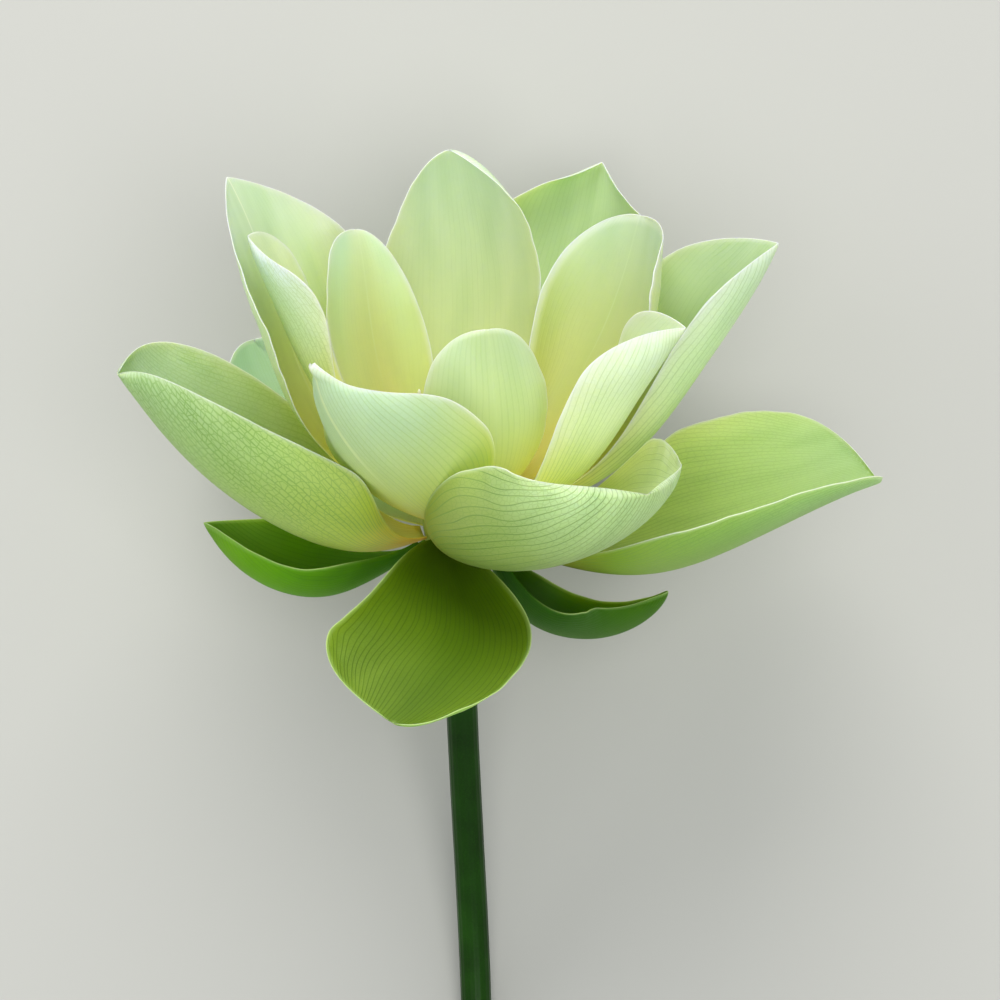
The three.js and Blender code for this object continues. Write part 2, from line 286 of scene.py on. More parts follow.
petals = {
    "petal_inner_back_right": {
        "tip": (52, 53, 75), "ring": (11, 5), "width": 76, "lean": (61, 22), "veer": 2, "reach": (0.6, 0.22),
        "cup": (18, 73, 22), "round": 2.5, "widest": 0.6, "fill": 1.45, "roll": (12, -26), "skew": 0.2,
        "lop": (-0.34, -0.42),
    },
    "petal_inner_back_left": {
        "tip": (-29, 40, 74.5), "ring": (11, 6), "width": 37, "lean": (61, 27), "veer": -5,
        "reach": (0.52, 0.24), "cup": (20, 38, 18), "round": 2.2, "widest": 0.6, "fill": 1.2,
        "roll": (-13, 20), "skew": -0.1, "lop": (-0.25, 0.4),
    },
    "petal_inner_right": {
        "tip": (61.5, -22, 64.5), "ring": (11, 6), "width": 53, "lean": (77, 42), "veer": -3,
        "reach": (0.45, 0.38), "cup": (18, 46, 91), "round": 1.15, "widest": 0.78, "fill": 0.8,
        "roll": (-4, 33), "skew": -0.45, "lop": (-0.44, -0.2),
    },
    "petal_inner_front": {
        "tip": (8.5, -25, 65), "ring": (11, 7), "width": 41, "lean": (64, -8), "cup": (30, 50, 50),
        "round": 2.2, "widest": 0.64, "fill": 1.6, "claw": 4.1, "sway": 1.5,
    },
    "petal_inner_left": {
        "tip": (-56.5, -4, 85), "ring": (11.1, 6.3), "width": 50.5, "lean": (51, 28), "veer": 4,
        "reach": (0.45, 0.2), "cup": (18, 55, 24), "round": 1.35, "widest": 0.78, "fill": 2.2,
        "roll": (-13, -10), "skew": 0.6, "lop": (-0.45, 0.38),
    },
    "petal_middle_back": {
        "tip": (-3, 68, 90.5), "ring": (11, 3), "width": 55, "lean": (82, -17), "veer": -36,
        "reach": (0.4, 0.3), "cup": (28, 42, 81), "round": 2.6, "widest": 0.54, "fill": 1.5,
        "roll": (2, -9), "skew": -0.15, "lop": (0.4, -0.28), "sway": -1, "finish": "creamGreen",
    },
    "petal_middle_back_right": {
        "tip": (42, 88, 81.5), "ring": (10.5, 0), "width": 70, "lean": (75, -10), "veer": 38,
        "reach": (0.32, 0.25), "cup": (42, 20, 95), "round": 1.15, "widest": 0.66, "fill": 1.75,
        "roll": (-13, -28), "skew": 0.6, "lop": (0.2, -0.05), "finish": "creamGreen",
    },
    "petal_middle_right": {
        "tip": (89.5, 24, 75), "ring": (10.5, 2), "width": 58, "lean": (84, 40), "veer": -2,
        "reach": (0.45, 0.44), "cup": (42, 74, 58), "round": 1.15, "widest": 0.78, "fill": 0.8,
        "roll": (12, 13), "skew": -0.58, "lop": (0.45, 0.02), "finish": "creamGreen",
    },
    "petal_middle_left": {
        "tip": (-64, 24, 94), "ring": (10.5, 2), "width": 89, "lean": (58, 28), "veer": 4,
        "reach": (0.53, 0.47), "cup": (18, 46, 18), "round": 1.15, "widest": 0.72, "roll": (-2, 8),
        "skew": -0.18, "lop": (-0.06, 0.22), "finish": "creamGreen",
    },
    "petal_middle_front_left": {
        "tip": (-36.5, -46.5, 61.5), "ring": (11, 4.5), "width": 68, "lean": (65, 6), "veer": 45,
        "reach": (0.6, 0.24), "cup": (18, 65, 39), "round": 1.1, "widest": 0.4, "fill": 1.15,
        "roll": (4, -33), "skew": 0.4, "lop": (0.02, 0.15), "sway": 1, "from": -109, "hook": 1.6,
    },
    "petal_middle_front_right": {
        "tip": (50, -66, 33), "ring": (10.5, -1.3), "width": 103, "lean": (89, 20), "veer": 45,
        "reach": (0.3, 0.37), "cup": (36, 82, 45), "round": 3.6, "widest": 0.52, "fill": 1.15,
        "roll": (-3, 17), "skew": -0.4, "lop": (0.24, 0.08), "from": -88, "finish": "paleGreen",
    },
    "petal_outer_left": {
        "tip": (-91, -23.5, 52), "ring": (10, -2), "width": 81, "lean": (100, 31), "veer": -7,
        "reach": (0.35, 0.38), "cup": (47, 93, 66), "round": 2.8, "widest": 0.4, "fill": 1.5,
        "roll": (-15, -1), "skew": 0.28, "lop": (0.26, -0.3), "finish": "paleGreen",
    },
    "petal_outer_right": {
        "tip": (117, -2.5, 14), "ring": (10, -3.6), "width": 97, "lean": (116, 79), "veer": 11,
        "reach": (0.48, 0.3), "cup": (63, 51, 30), "round": 3.5, "widest": 0.5, "fill": 2.2,
        "roll": (9, -7), "skew": -0.2, "lop": (-0.18, 0.42), "finish": "paleGreen",
    },
    "petal_outer_front": {
        "tip": (-16, -87, -22.5), "ring": (10, -4), "width": 50.5, "lean": (99, 109), "veer": -27,
        "reach": (0.35, 0.5), "cup": (75, 20, 39), "round": 3.5, "widest": 0.78, "fill": 0.8,
        "roll": (-30, -10), "skew": 0.6, "lop": (-0.1, -0.3), "sway": 4.5, "finish": "green", "lip": 1.0,
    },
    "petal_outer_back_left": {
        "tip": (-61, 97, 24), "ring": (10, -3.6), "width": 62, "lean": (98, 56), "cup": (30, 45, 40),
        "round": 1.8, "finish": "creamGreen",
    },
    "petal_outer_back_right": {
        "tip": (42, 88, 6), "ring": (10, -3.6), "width": 64, "lean": (98, 70), "cup": (30, 48, 40),
        "round": 1.6, "finish": "creamGreen",
    },
    "petal_outer_back": {
        "tip": (-8, 90, 31), "ring": (10.2, -1.6), "width": 38, "lean": (84, 62), "cup": (30, 35, 40),
        "round": 1.5, "fill": 1.5, "claw": 3.5, "finish": "creamGreen",
    },
    "sepal_left": {
        "tip": (-72, 10, -3), "ring": (9, -6), "width": 54, "lean": (129, 56), "veer": -28,
        "reach": (0.43, 0.5), "cup": (51, 57, 79), "round": 1.15, "widest": 0.5, "fill": 1.75,
        "roll": (-4, -19), "skew": 0.42, "lop": (0.44, -0.02), "finish": "deepGreen",
    },
    "sepal_right": {
        "tip": (59, -1.5, -19.5), "ring": (9, -7), "width": 55, "lean": (177, 24), "veer": -19,
        "reach": (0.61, 0.5), "cup": (80, 49, 45), "round": 1.2, "widest": 0.5, "fill": 0.8,
        "roll": (-6, -33), "skew": 0.34, "lop": (-0.23, -0.06), "finish": "deepGreen",
    },
}

slotOf = {
    "cream": "petal_cream", "creamGreen": "petal_cream_green", "paleGreen": "petal_pale_green",
    "green": "petal_green", "deepGreen": "sepal_green",
}


# Unit direction that leans away from the flower's axis towards aim
def heading(lean, aim):
    lean = math.radians(lean)
    return np.array([math.sin(lean) * math.cos(aim), math.sin(lean) * math.sin(aim), math.cos(lean)])


def curvePoint(ends, t):
    a, b, c, d = ends
    t = t[:, None]
    return (1 - t) ** 3 * a + 3 * (1 - t) ** 2 * t * b + 3 * (1 - t) * t ** 2 * c + t ** 3 * d


def curveHeading(ends, t):
    a, b, c, d = ends
    t = t[:, None]
    return unit((1 - t) ** 2 * (b - a) + 2 * (1 - t) * t * (c - b) + t ** 2 * (d - c))


def petalAims(petal):
    tipAim = math.atan2(petal["tip"][1], petal["tip"][0])
    return (math.radians(petal["from"]) if "from" in petal else tipAim), tipAim


def midribOf(petal):
    rootAim, tipAim = petalAims(petal)
    radius, height = petal["ring"]
    root = np.array([radius * math.cos(rootAim), radius * math.sin(rootAim), height])
    tip = np.array(petal["tip"], float)
    length = np.linalg.norm(tip - root)
    rootHandle = root + heading(petal["lean"][0], rootAim) * length * petal["reach"][0]
    tipHeading = heading(petal["lean"][1], tipAim + math.radians(petal["veer"]))
    tipHandle = tip - tipHeading * length * petal["reach"][1]
    return root, rootHandle, tipHandle, tip


# 0 up to the widest place, and from there to 1 at the tip
def pastWidest(petal, along):
    return np.clip((along - petal["widest"]) / (1 - petal["widest"]), 0, 1)


def halfWidths(petal, along):
    half, claw, widest = petal["width"] / 2, petal["claw"], petal["widest"]
    opening = np.sin(math.pi / 2 * np.minimum(along / widest, 1)) ** petal["fill"]
    closing = half * (1 - pastWidest(petal, along) ** tipFullness) ** (1 / petal["round"])
    return np.where(along < widest, claw + (half - claw) * opening, closing)


# How far the section bends from its middle to its edge
def bends(petal, along):
    root, middle, tip = petal["cup"]
    cup = root * 2 * (along - 0.5) * (along - 1) + middle * 4 * along * (1 - along)
    return np.radians(cup + tip * 2 * along * (along - 0.5))


# The blade without its thickness, as a grid of points from root to tip and from edge to edge,
# with the distance of each point from the midrib and from the root, on the flattened blade
def bladeSheet(petal, along, side):
    ends = midribOf(petal)
    aim = between(*petalAims(petal), along)
    forward = curveHeading(ends, along)
    across = np.stack([-np.sin(aim), np.cos(aim), 0 * aim], axis=1)
    across = unit(across - forward * np.sum(across * forward, axis=1, keepdims=True))
    inward = np.cross(forward, across)
    roll = np.radians(between(*petal["roll"], along))[:, None]
    turn, keep = np.sin(roll), np.cos(roll)
    across, inward = across * keep + inward * turn, inward * keep - across * turn
    midrib = curvePoint(ends, along)
    steps = np.linalg.norm(np.diff(midrib, axis=0), axis=1)
    fromRoot = np.concatenate([[0], np.cumsum(steps)])
    centre = midrib + across * (petal["sway"] * np.sin(math.pi * along))[:, None]
    half = halfWidths(petal, along)[:, None] * (1 + between(*petal["lop"], along)[:, None] * np.sign(side))
    bend = bends(petal, along)[:, None] * (1 + petal["skew"] * np.sign(side))
    aside = (half * np.sin(bend * side) / bend)[..., None]
    lift = (half * (1 - np.cos(bend * side)) / bend)[..., None]
    points = centre[:, None] + across[:, None] * aside + inward[:, None] * lift
    return points, half * side, np.tile(fromRoot[:, None], len(side))


# Directions that stand square to the sheet, towards its hollow side
def squareDirections(points):
    last = len(points) - 1
    rows = np.arange(last)
    forward = points[rows + 1] - points[np.maximum(rows - 1, 0)]
    cells = np.arange(points.shape[1])
    across = points[:, np.minimum(cells + 1, cells[-1])] - points[:, np.maximum(cells - 1, 0)]
    directions = unit(np.cross(forward, across[:last]))
    atTip = unit(directions[-1].sum(axis=0))
    return np.concatenate([directions, np.tile(atTip, (1, len(cells), 1))])


def halfThickness(build, side):
    toTip = np.linspace(0, 1, build["rows"] + 1)[:, None] ** thinningToTip
    thinning = (1 - build["rimShare"]) * np.maximum(np.abs(side) ** thinningToEdge, toTip)
    return (build["thickness"] / 2 * (1 - thinning))[..., None]


def rowShares(build):
    return 1 - (1 - np.linspace(0, 1, build["rows"] + 1)) ** build["tipCrowding"]


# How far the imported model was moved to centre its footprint, from one petal that rests on nothing
def packedShift(name="petal_middle_back"):
    petal = {**plainPetal, **petals[name]}
    side = np.linspace(-1, 1, solidBuild["cells"] + 1)
    points, _, _ = bladeSheet(petal, rowShares(solidBuild), side)
    push = squareDirections(points) * halfThickness(solidBuild, side)
    lowest = laidDown(np.concatenate([points + push, points - push])).min(axis=(0, 1))
    return np.array(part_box(name)[0]) / mm - lowest


shift = packedShift()
print("flower stands at", np.round(laidDown(np.zeros(3)) + shift, 2).tolist(), "mm")


# Distance of each point of the flattened blade from its outline
def distanceToRim(aside, fromRoot):
    outline = np.concatenate([
        np.stack([aside[:, 0], fromRoot[:, 0]], axis=1),
        np.stack([aside[:, -1], fromRoot[:, -1]], axis=1),
    ])
    flat = np.stack([aside, fromRoot], axis=-1).reshape(-1, 1, 2)
    return np.linalg.norm(flat - outline, axis=-1).min(axis=1).reshape(aside.shape)


# Slow ups and downs between -1 and 1, longer lengthwise than across
def unevenness(aside, fromRoot, size, seed):
    places = zip(aside.ravel() / size, fromRoot.ravel() / size / 1.6)
    return np.array([noise.noise(Vector((x, y, 3.7 * seed))) for x, y in places]).reshape(aside.shape)


# Unevenness, waved edges, a lip along the rim and a hooked tip, all square to the sheet
def liveliness(petal, build, aside, fromRoot, toRim, along, side, seed):
    shiftOfPetal, shiftOfEdge = build["waveShift"]
    share, length, turn = build["shortWave"]
    phase = shiftOfPetal * seed + shiftOfEdge * np.sign(side)
    swing = 2 * math.pi * fromRoot / build["waveLength"]
    waves = np.sin(swing + phase) + share * np.sin(swing / length + turn * phase)
    waves *= np.abs(side) ** build["waveGrowth"]
    ripple = unevenness(aside, fromRoot, build["rippleLength"], seed)
    free = (eased(along, *build["rippleStart"]) * (1 - eased(along, *build["rippleEnd"])))[:, None]
    lip = petal["lip"] * (1 - eased(toRim, 0, build["lipWidth"]))
    lift = free * (build["wave"] * waves + build["ripple"] * ripple + lip)
    end = fromRoot[-1, 0]
    lift -= petal["hook"] * eased(fromRoot, end - build["hookLength"], end)
    return lift[..., None]


# One ring round the blade for each row, from the hollow face over the rim to the outer face, and the tip
def ringed(inner, high, outer, low, tip):
    rows = np.concatenate([inner, high[:, None], outer[:, ::-1], low[:, None]], axis=1)[:-1]
    return np.concatenate([rows.reshape(-1, *rows.shape[2:]), tip[None]])


def ringFaces(rows, cells):
    ring = 2 * cells + 4
    last, tip = (rows - 1) * ring, rows * ring
    behind = 2 * cells + 2 - np.arange(cells + 1)     # the outer face's point behind each of the hollow face
    faces = bandFaces(rows, ring)
    faces += [(last + k, tip, last + (k + 1) % ring) for k in range(ring)]
    faces += [(k, k + 1, behind[k + 1], behind[k]) for k in range(cells)]
    faces += [(0, behind[0], ring - 1), (cells, cells + 1, behind[cells])]
    return faces


# Points along one edge, moved out so that the rim is round
def roundedEdge(inner, outer, edge, beside, bulge):
    middle = (inner + outer) / 2
    outward = unit(middle[:-1, edge] - middle[:-1, beside])
    return middle[:, edge] + np.concatenate([outward, outward[-1:]]) * bulge[:, edge]


# What the veins and colours follow, at each point of the sheet
def sheetReadings(petal, along, aside, fromRoot, toRim, seed):
    closing = petal["width"] / 2 * (1 - veinBuild["gathering"] * pastWidest(petal, along) ** 2)
    span = np.where(along < petal["widest"], halfWidths(petal, along), closing)
    along, span = (np.tile(values[:, None], aside.shape[1]) for values in (along, span))
    return {
        "along": along, "aside": aside, "fromRoot": fromRoot, "toRim": toRim, "span": span,
        "fan": aside / span, "wander": unevenness(aside, fromRoot, veinBuild["wanderLength"], seed + 0.5),
    }


def buildPetal(name, petal, seed, material):
    build = bladeBuild
    cells = build["cells"]
    along = rowShares(build)
    crowding = math.pi / 2 * build["edgeCrowding"]
    side = np.sin(np.linspace(-1, 1, cells + 1) * crowding) / math.sin(crowding)
    points, aside, fromRoot = bladeSheet(petal, along, side)
    toRim = distanceToRim(aside, fromRoot)
    lift = liveliness(petal, build, aside, fromRoot, toRim, along, side, seed)
    points = points + squareDirections(points) * lift
    square = squareDirections(points)
    half = halfThickness(build, side)
    inner, outer = (laidDown(points + square * half * s) + shift for s in (1, -1))

    # Where the blade meets the surface it is pressed flat
    outer[..., 2] = np.maximum(outer[..., 2], 0)
    pressed = np.maximum(inner[..., 2], lying["pressedThickness"])
    inner[..., 2] = np.where(outer[..., 2] <= 0, pressed, inner[..., 2])

    bulge = half * build["rimBulge"]
    low = roundedEdge(inner, outer, 0, 1, bulge)
    high = roundedEdge(inner, outer, -1, -2, bulge)
    tip = (inner[-1, cells // 2] + outer[-1, cells // 2]) / 2
    vertices = ringed(inner, high, outer, low, tip)
    vertices = np.clip(vertices, *(np.array(cadBounds) / mm))  # the finer edges bulge out a little further
    faces = ringFaces(build["rows"], cells)
    piece = newPiece(name + "_blade", vertices, faces, material, slotOf[petal["finish"]], name)
    for reading, values in sheetReadings(petal, along, aside, fromRoot, toRim, seed).items():
        ringValues = ringed(values, values[:, -1], values, values[:, 0], values[-1, cells // 2])
        addReadings(piece.data, {reading: ringValues})
    hollowFace = np.zeros_like(aside)
    rim = hollowFace[:, 0] + 0.5
    addReadings(piece.data, {"outerFace": ringed(hollowFace, rim, hollowFace + 1, rim, rim[-1])})


# Petal finishes: colours from root to tip on the hollow and on the outer face, and their veins.
# "stops" says where along the petal the four colours are, and "band" is a pale rim's share and width in mm.
# "heart" is the colour of the petal's middle and its share, "crease" that of the midrib, with its width in mm

petalFinish = {
    "cream": {
        "stops": (0, 0.28, 0.62, 1),
        "inner": ("#d3be36", "#cdd064", "#c9da90", "#cfe6c4"),
        "outer": ("#e6d950", "#e6ee8a", "#daecb2", "#daefd0"),
        "rim": "#eef6e8", "vein": "#9fbb70", "veinsInner": 0.1, "veinsOuter": 0.42, "net": 0.3,
        "heart": ("#c9d88a", 0.25), "band": (0.3, 1.8), "gloss": 0.35, "crease": ("#e6f2cc", 0.15, 0.5),
    },
    "creamGreen": {
        "stops": (0, 0.28, 0.62, 1),
        "inner": ("#d6cf44", "#d2dc80", "#c6da9e", "#c4deb8"),
        "outer": ("#d4cc40", "#d6e88a", "#cfe8ae", "#d2ecc4"),
        "rim": "#ecf4e6", "vein": "#86aa5a", "veinsInner": 0.16, "veinsOuter": 0.45, "net": 0.35,
        "heart": ("#b9d090", 0.25), "band": (0.3, 1.6), "gloss": 0.35, "crease": ("#e6f2cc", 0.15, 0.5),
    },
    "paleGreen": {
        "stops": (0, 0.28, 0.62, 1),
        "rim": "#e2eed8", "vein": "#769c44", "veinsInner": 0.3, "net": 0.5,
        "heart": ("#97b860", 0.3), "band": (0.25, 1.4), "gloss": 0.3, "crease": ("#dcecc0", 0.1, 0.5),
    },
    # Only the front outer petal has this finish: its dark olive colours and dark middle are partly its own
    # green and partly painted shade of the flower above it
    "green": {
        "stops": (0, 0.3, 0.65, 1),
        "inner": ("#3f5a04", "#4c6a04", "#5f7c14", "#748f2c"),
        "outer": ("#557208", "#779c2c", "#8fb645", "#9cc45c"),
        "rim": "#b4cf94", "vein": "#3f5c08", "veinsInner": 0.75, "veinsOuter": 0.5, "net": 0.2,
        "heart": ("#4a6a06", 0.6), "band": (0.2, 1.4), "gloss": 0.12, "crease": ("#4d6a10", 0.2, 0.5),
    },
    "deepGreen": {
        "stops": (0, 0.3, 0.65, 1),
        "rim": "#b4d084", "vein": "#2f6000", "veinsInner": 0.3, "veinsOuter": 0.3, "net": 0.2,
        "heart": ("#427200", 0.5), "band": (0.2, 1.2), "gloss": 0.1, "crease": ("#4d7a10", 0.2, 0.5),
    },
}

# What sets a petal apart from its finish: its own colours, which on several petals are also made lighter or
# darker as painted light and painted shade for how much light reaches each petal. "veinsApart" stands in for
# the veins' common distance
petalLooks = {
    "petal_inner_back_right": {
        "inner": ("#ccb634", "#bfc264", "#bbc98e", "#bcd3bc"),
        "veinsInner": 0.04, "band": (0.55, 3.4), "heart": ("#c4cf80", 0.2),
    },
    "petal_inner_back_left": {
        "inner": ("#dcc63c", "#d4da84", "#d0e2a4", "#ccecd0"),
        "veinsInner": 0.04, "heart": ("#dfcd72", 0.28),
    },
    "petal_inner_right": {
        "outer": ("#eadf58", "#f4f4a0", "#e2f2c4", "#d8f0d0"),
        "inner": ("#dcc63c", "#dcd878", "#d8e6a8", "#dff2dc"),
        "veinsOuter": 0.45,
    },
    "petal_inner_front": {
        "outer": ("#e6d950", "#ecee90", "#cfddaa", "#bed2b2"),
        "veinsOuter": 0.18, "net": 0.1,
    },
    "petal_inner_left": {
        "outer": ("#e6d950", "#e6ee94", "#d8ecc8", "#d8efe6"),
        "inner": ("#ecd94a", "#eaec80", "#e2f4ac", "#def6cc"),
        "veinsOuter": 0.5, "net": 0.7,
    },
    "petal_middle_back": {
        "inner": ("#d8d450", "#dcde90", "#cdd8a8", "#c4d8cc"),
        "veinsInner": 0.05, "crease": ("#e6f2cc", 0, 0.5),
    },
    "petal_middle_back_right": {
        "inner": ("#d2ca44", "#ccd87c", "#c0d498", "#c0d8ae"),
    },
    "petal_middle_right": {
        # the hollow face's yellow root is lightened: painted light in the shaded slit beside the inner right
        # petal
        "inner": ("#efe23e", "#ece67c", "#c0d198", "#b8ceac"),
        "outer": ("#e4d850", "#e2ee9a", "#d5edbc", "#d8f1d4"),
        "veinsOuter": 0.45,
    },
    "petal_middle_left": {
        # the hollow face is lightened towards its root: painted light where the inner left petal's shadow
        # falls
        "inner": ("#f2e64a", "#f3ee84", "#e2edb8", "#cce4cf"),
        "veinsInner": 0.05, "crease": ("#eef6dc", 0.6, 0.7),
    },
    "petal_middle_front_left": {
        "outer": ("#dccf4a", "#c4cf70", "#bad2aa", "#c0dcc8"),
        "veinsOuter": 0.55, "crease": ("#e3edb4", 0.5, 1.4),
    },
    "petal_middle_front_right": {
        # the outer face is darker from its root to its middle: partly the petal's own colour, partly painted
        # shade on its lower part
        "outer": ("#b09030", "#8a9736", "#9fb468", "#cde8b2"),
        "inner": ("#d6c850", "#e0ea86", "#d8e9a8", "#dff3c9"),
        "veinsOuter": 0.9, "veinsApart": 9.5, "net": 0.35, "vein": "#6c9040",
    },
    "petal_outer_left": {
        "outer": ("#c69a30", "#a9bb44", "#a6c16f", "#abc698"),
        "inner": ("#cbb53a", "#bbc87c", "#b0c491", "#b7ccae"),
        "veinsOuter": 0.85, "net": 0.9,
    },
    "petal_outer_right": {
        "outer": ("#a08a2c", "#8aac32", "#8db35a", "#a6cc8c"),
        "inner": ("#cbb53a", "#bfd268", "#bdd880", "#a6c486"),
        "veinsInner": 0.4, "veinsOuter": 0.8,
    },
    "petal_outer_back_left": {
        "inner": ("#c8c850", "#aac070", "#a0be8a", "#9ec2a1"),
    },
    "sepal_left": {
        "inner": ("#4c7a00", "#5a9210", "#64980c", "#77a132"),
        "outer": ("#2f6200", "#4a8400", "#5c9804", "#6fa016"),
    },
    "sepal_right": {
        # much darker than the left sepal on both faces: partly its own deep green, partly painted shade
        "inner": ("#2c5200", "#2e5a00", "#3f7400", "#6c9a26"),
        "outer": ("#1f4c00", "#265400", "#316201", "#43710a"),
    },
}

veinBuild = {
    "apart": 6.5,        # main veins on either side of the midrib lie about this far apart, mm
    "gathering": 0.42,   # how much closer together they are again at the tip
    "forks": 2,          # how many times the veins fork as the blade widens
    "gap": (1.0, 2.2),   # a new vein fades in as the older ones beside it part this far, mm
    "width": 0.26,       # half the width of a vein, mm
    "wander": 0.22,      # how far a vein strays from its line, as a share of the space between two
    "wanderLength": 11,  # mm
    "start": (0.02, 0.2),       # where the veins fade in, as shares of the petal's length
    "relief": 0.03,      # mm
    "netCell": (1.2, 2.4),      # across and lengthwise, mm
    "netLine": 0.13,     # half the width of the net's lines, as a share of a cell
    "netStart": (0.15, 0.5),
}
skinBuild = {
    "cloud": 0.12,              # how fine the soft clouds in the colour are, for each mm
    "cloudStretch": 0.22,       # below 1 draws them out lengthwise
    "cloudLevel": 0.42,
    "cloudShare": 0.6,
    "heartWidth": (0.75, 0.05),         # where the heart's colour fades in, as shares of the half width
    "heartWander": 0.3,
    "creaseStart": (0.3, 0.6),
    "bandStart": (0.12, 0.4),
    "edgeLine": (0.35, 0.05),           # crisp pale line within the band, mm from the rim
    "edgeShare": 0.45,
    "grain": 2.6,               # for each mm
    "roughness": 0.46,
    "grainRoughness": 0.16,
    "veinRoughness": -0.05,
    "lightDepth": 1.4,          # how far light spreads inside the petal, mm
    "lightSpread": (1.0, 1.0, 0.5),
}


# The main veins spread like a fan. Those of the first fork lie half way between them, and those
# of the next one half way between all of these
def veinLines(fan, span, wander, mainVeins):
    width, parting = veinBuild["width"], veinBuild["gap"]
    gap = span / mainVeins
    fromMain = (fan * mainVeins + wander).fromWhole()
    lines = (fromMain * gap).eased(width, 0)
    lines = lines.larger(((0.5 - fromMain) * gap).eased(width, 0) * gap.eased(*parting))
    for fork in range(2, veinBuild["forks"] + 1):
        count = mainVeins * 2 ** (fork - 1)
        gap = span / count
        fromVein = (fan * count + (wander + 0.5)).fromWhole() * gap
        lines = lines.larger(fromVein.eased(width, 0) * gap.eased(*parting))
    return lines


# Fine net between the veins
def veinNet(paint, aside, fromRoot):
    cellWide, cellLong = veinBuild["netCell"]
    place = paint.node("CombineXYZ", {}, {"X": aside / cellWide, "Y": fromRoot / cellLong})
    settings = {"feature": "DISTANCE_TO_EDGE", "voronoi_dimensions": "2D"}
    distance = paint.node("TexVoronoi", settings, {"Vector": place, "Scale": 1.0}, "Distance")
    return distance.eased(veinBuild["netLine"], 0)


def petalMaterial(name, petal):
    look = petalFinish[petal["finish"]] | petalLooks.get(name, {})
    build = skinBuild
    material, paint = newMaterial(name + "_skin")
    along, aside, fromRoot = (paint.reading(r) for r in ("along", "aside", "fromRoot"))
    toRim, fan, span, outerFace = (paint.reading(r) for r in ("toRim", "fan", "span", "outerFace"))
    isOuter = outerFace.eased(0.4, 0.6)
    ofFace = outerFace * 9      # so that the two faces don't share their clouds and grain
    inner, outer = (along.ramp(list(zip(look["stops"], look[face]))) for face in ("inner", "outer"))

    wander = paint.reading("wander") * veinBuild["wander"]
    mainVeins = round(petal["width"] / 2 / look.get("veinsApart", veinBuild["apart"]))
    lines = veinLines(fan, span, wander, mainVeins)
    net = veinNet(paint, aside, fromRoot) * along.eased(*veinBuild["netStart"]) * look["net"]

    # Body colour: root to tip on each face, clouded, and darker or greener along the middle
    stretched = paint.node("CombineXYZ", {}, {"X": aside, "Y": fromRoot * build["cloudStretch"], "Z": ofFace})
    cloud = paint.noise(stretched, build["cloud"], 1.0)
    heartColour, heartShare = look["heart"]
    fromHeart = abs(fan + (cloud - 0.5) * build["heartWander"])
    colour = isOuter.mixed(inner, outer)
    colour = (fromHeart.eased(*build["heartWidth"]) * heartShare).mixed(colour, tint(heartColour))
    colour = ((cloud - build["cloudLevel"]) * build["cloudShare"]).mixed(colour, tint(look["vein"]))
    veinShare = isOuter * (look["veinsOuter"] - look["veinsInner"]) + look["veinsInner"]
    drawn = lines.larger(net) * veinShare * (cloud + 0.3) * along.eased(*veinBuild["start"])
    colour = drawn.mixed(colour, tint(look["vein"]))

    # A crease along the midrib, and a pale rim: a soft band with a crisp line at the very edge
    creaseColour, creaseShare, creaseWidth = look["crease"]
    crease = abs(aside).eased(creaseWidth, 0) * along.eased(*build["creaseStart"]) * creaseShare
    colour = crease.mixed(colour, tint(creaseColour))
    bandShare, bandWidth = look["band"]
    edgeLine = toRim.eased(*build["edgeLine"]) * build["edgeShare"]
    band = toRim.eased(bandWidth, 0.2) * bandShare + edgeLine
    colour = (band * along.eased(*build["bandStart"])).mixed(colour, tint(look["rim"]))

    place = paint.node("CombineXYZ", {}, {"X": aside, "Y": fromRoot, "Z": ofFace})
    grain = paint.noise(place, build["grain"], 1.0) * build["grainRoughness"]
    sockets = {
        "Base Color": colour, "Roughness": build["roughness"] + grain + lines * build["veinRoughness"],
        "Specular IOR Level": look["gloss"], "Subsurface Weight": 1.0,
        "Subsurface Scale": build["lightDepth"] * mm, "Subsurface Radius": build["lightSpread"],
    }
    dress(paint, sockets, lines, veinBuild["relief"])
    return material


for seed, (name, shape) in enumerate(petals.items()):
    petal = {**plainPetal, **shape}
    buildPetal(name, petal, seed, petalMaterial(name, petal))
print("petals and sepals:", len(petals))


# Receptacle: the yellow cone in the middle, and the carpels sunk in its flat top

receptacleBuild = {
    # radius and height, mm, from the stem up to the rim of the flat top
    "outline": [
        (4.6, -8), (6.6, -7.7), (8, -7.0), (8.5, -5.8), (9.3, -4), (9.5, -2), (9.8, 0), (9.9, 3.6),
        (10.3, 5), (10.2, 7.4), (9.5, 8.8), (9.25, 12), (11.2, 20), (13.3, 27.4), (13.45, 29), (12.9, 29.8),
    ],
    "sides": 120,
    "steps": 5,            # rings between two points of the outline
    "topRings": 44,
    "topHeight": 29.9,
    "topRounding": 0.12,   # share of the top that rounds down to its rim
    "ribs": 24,
    "ribDepth": 0.007,     # as a share of the radius
    "ribStart": (10, 14),  # heights at which the ribs fade in and out, mm
    "ribEnd": (26, 29),
    "pit": 0.55,           # how deep the top sinks round each carpel, mm
    "pitRadius": 2.1,
    "pitLip": (0.18, 1.25, 0.3),    # height in mm, place and width as shares of the pit's radius
    "colours": [(0, "#7d9a35"), (0.3, "#a5b647"), (0.62, "#d3cc55"), (0.9, "#e6d85c"), (1, "#e9dd6a")],
    "blotch": "#b9bf4a",
}
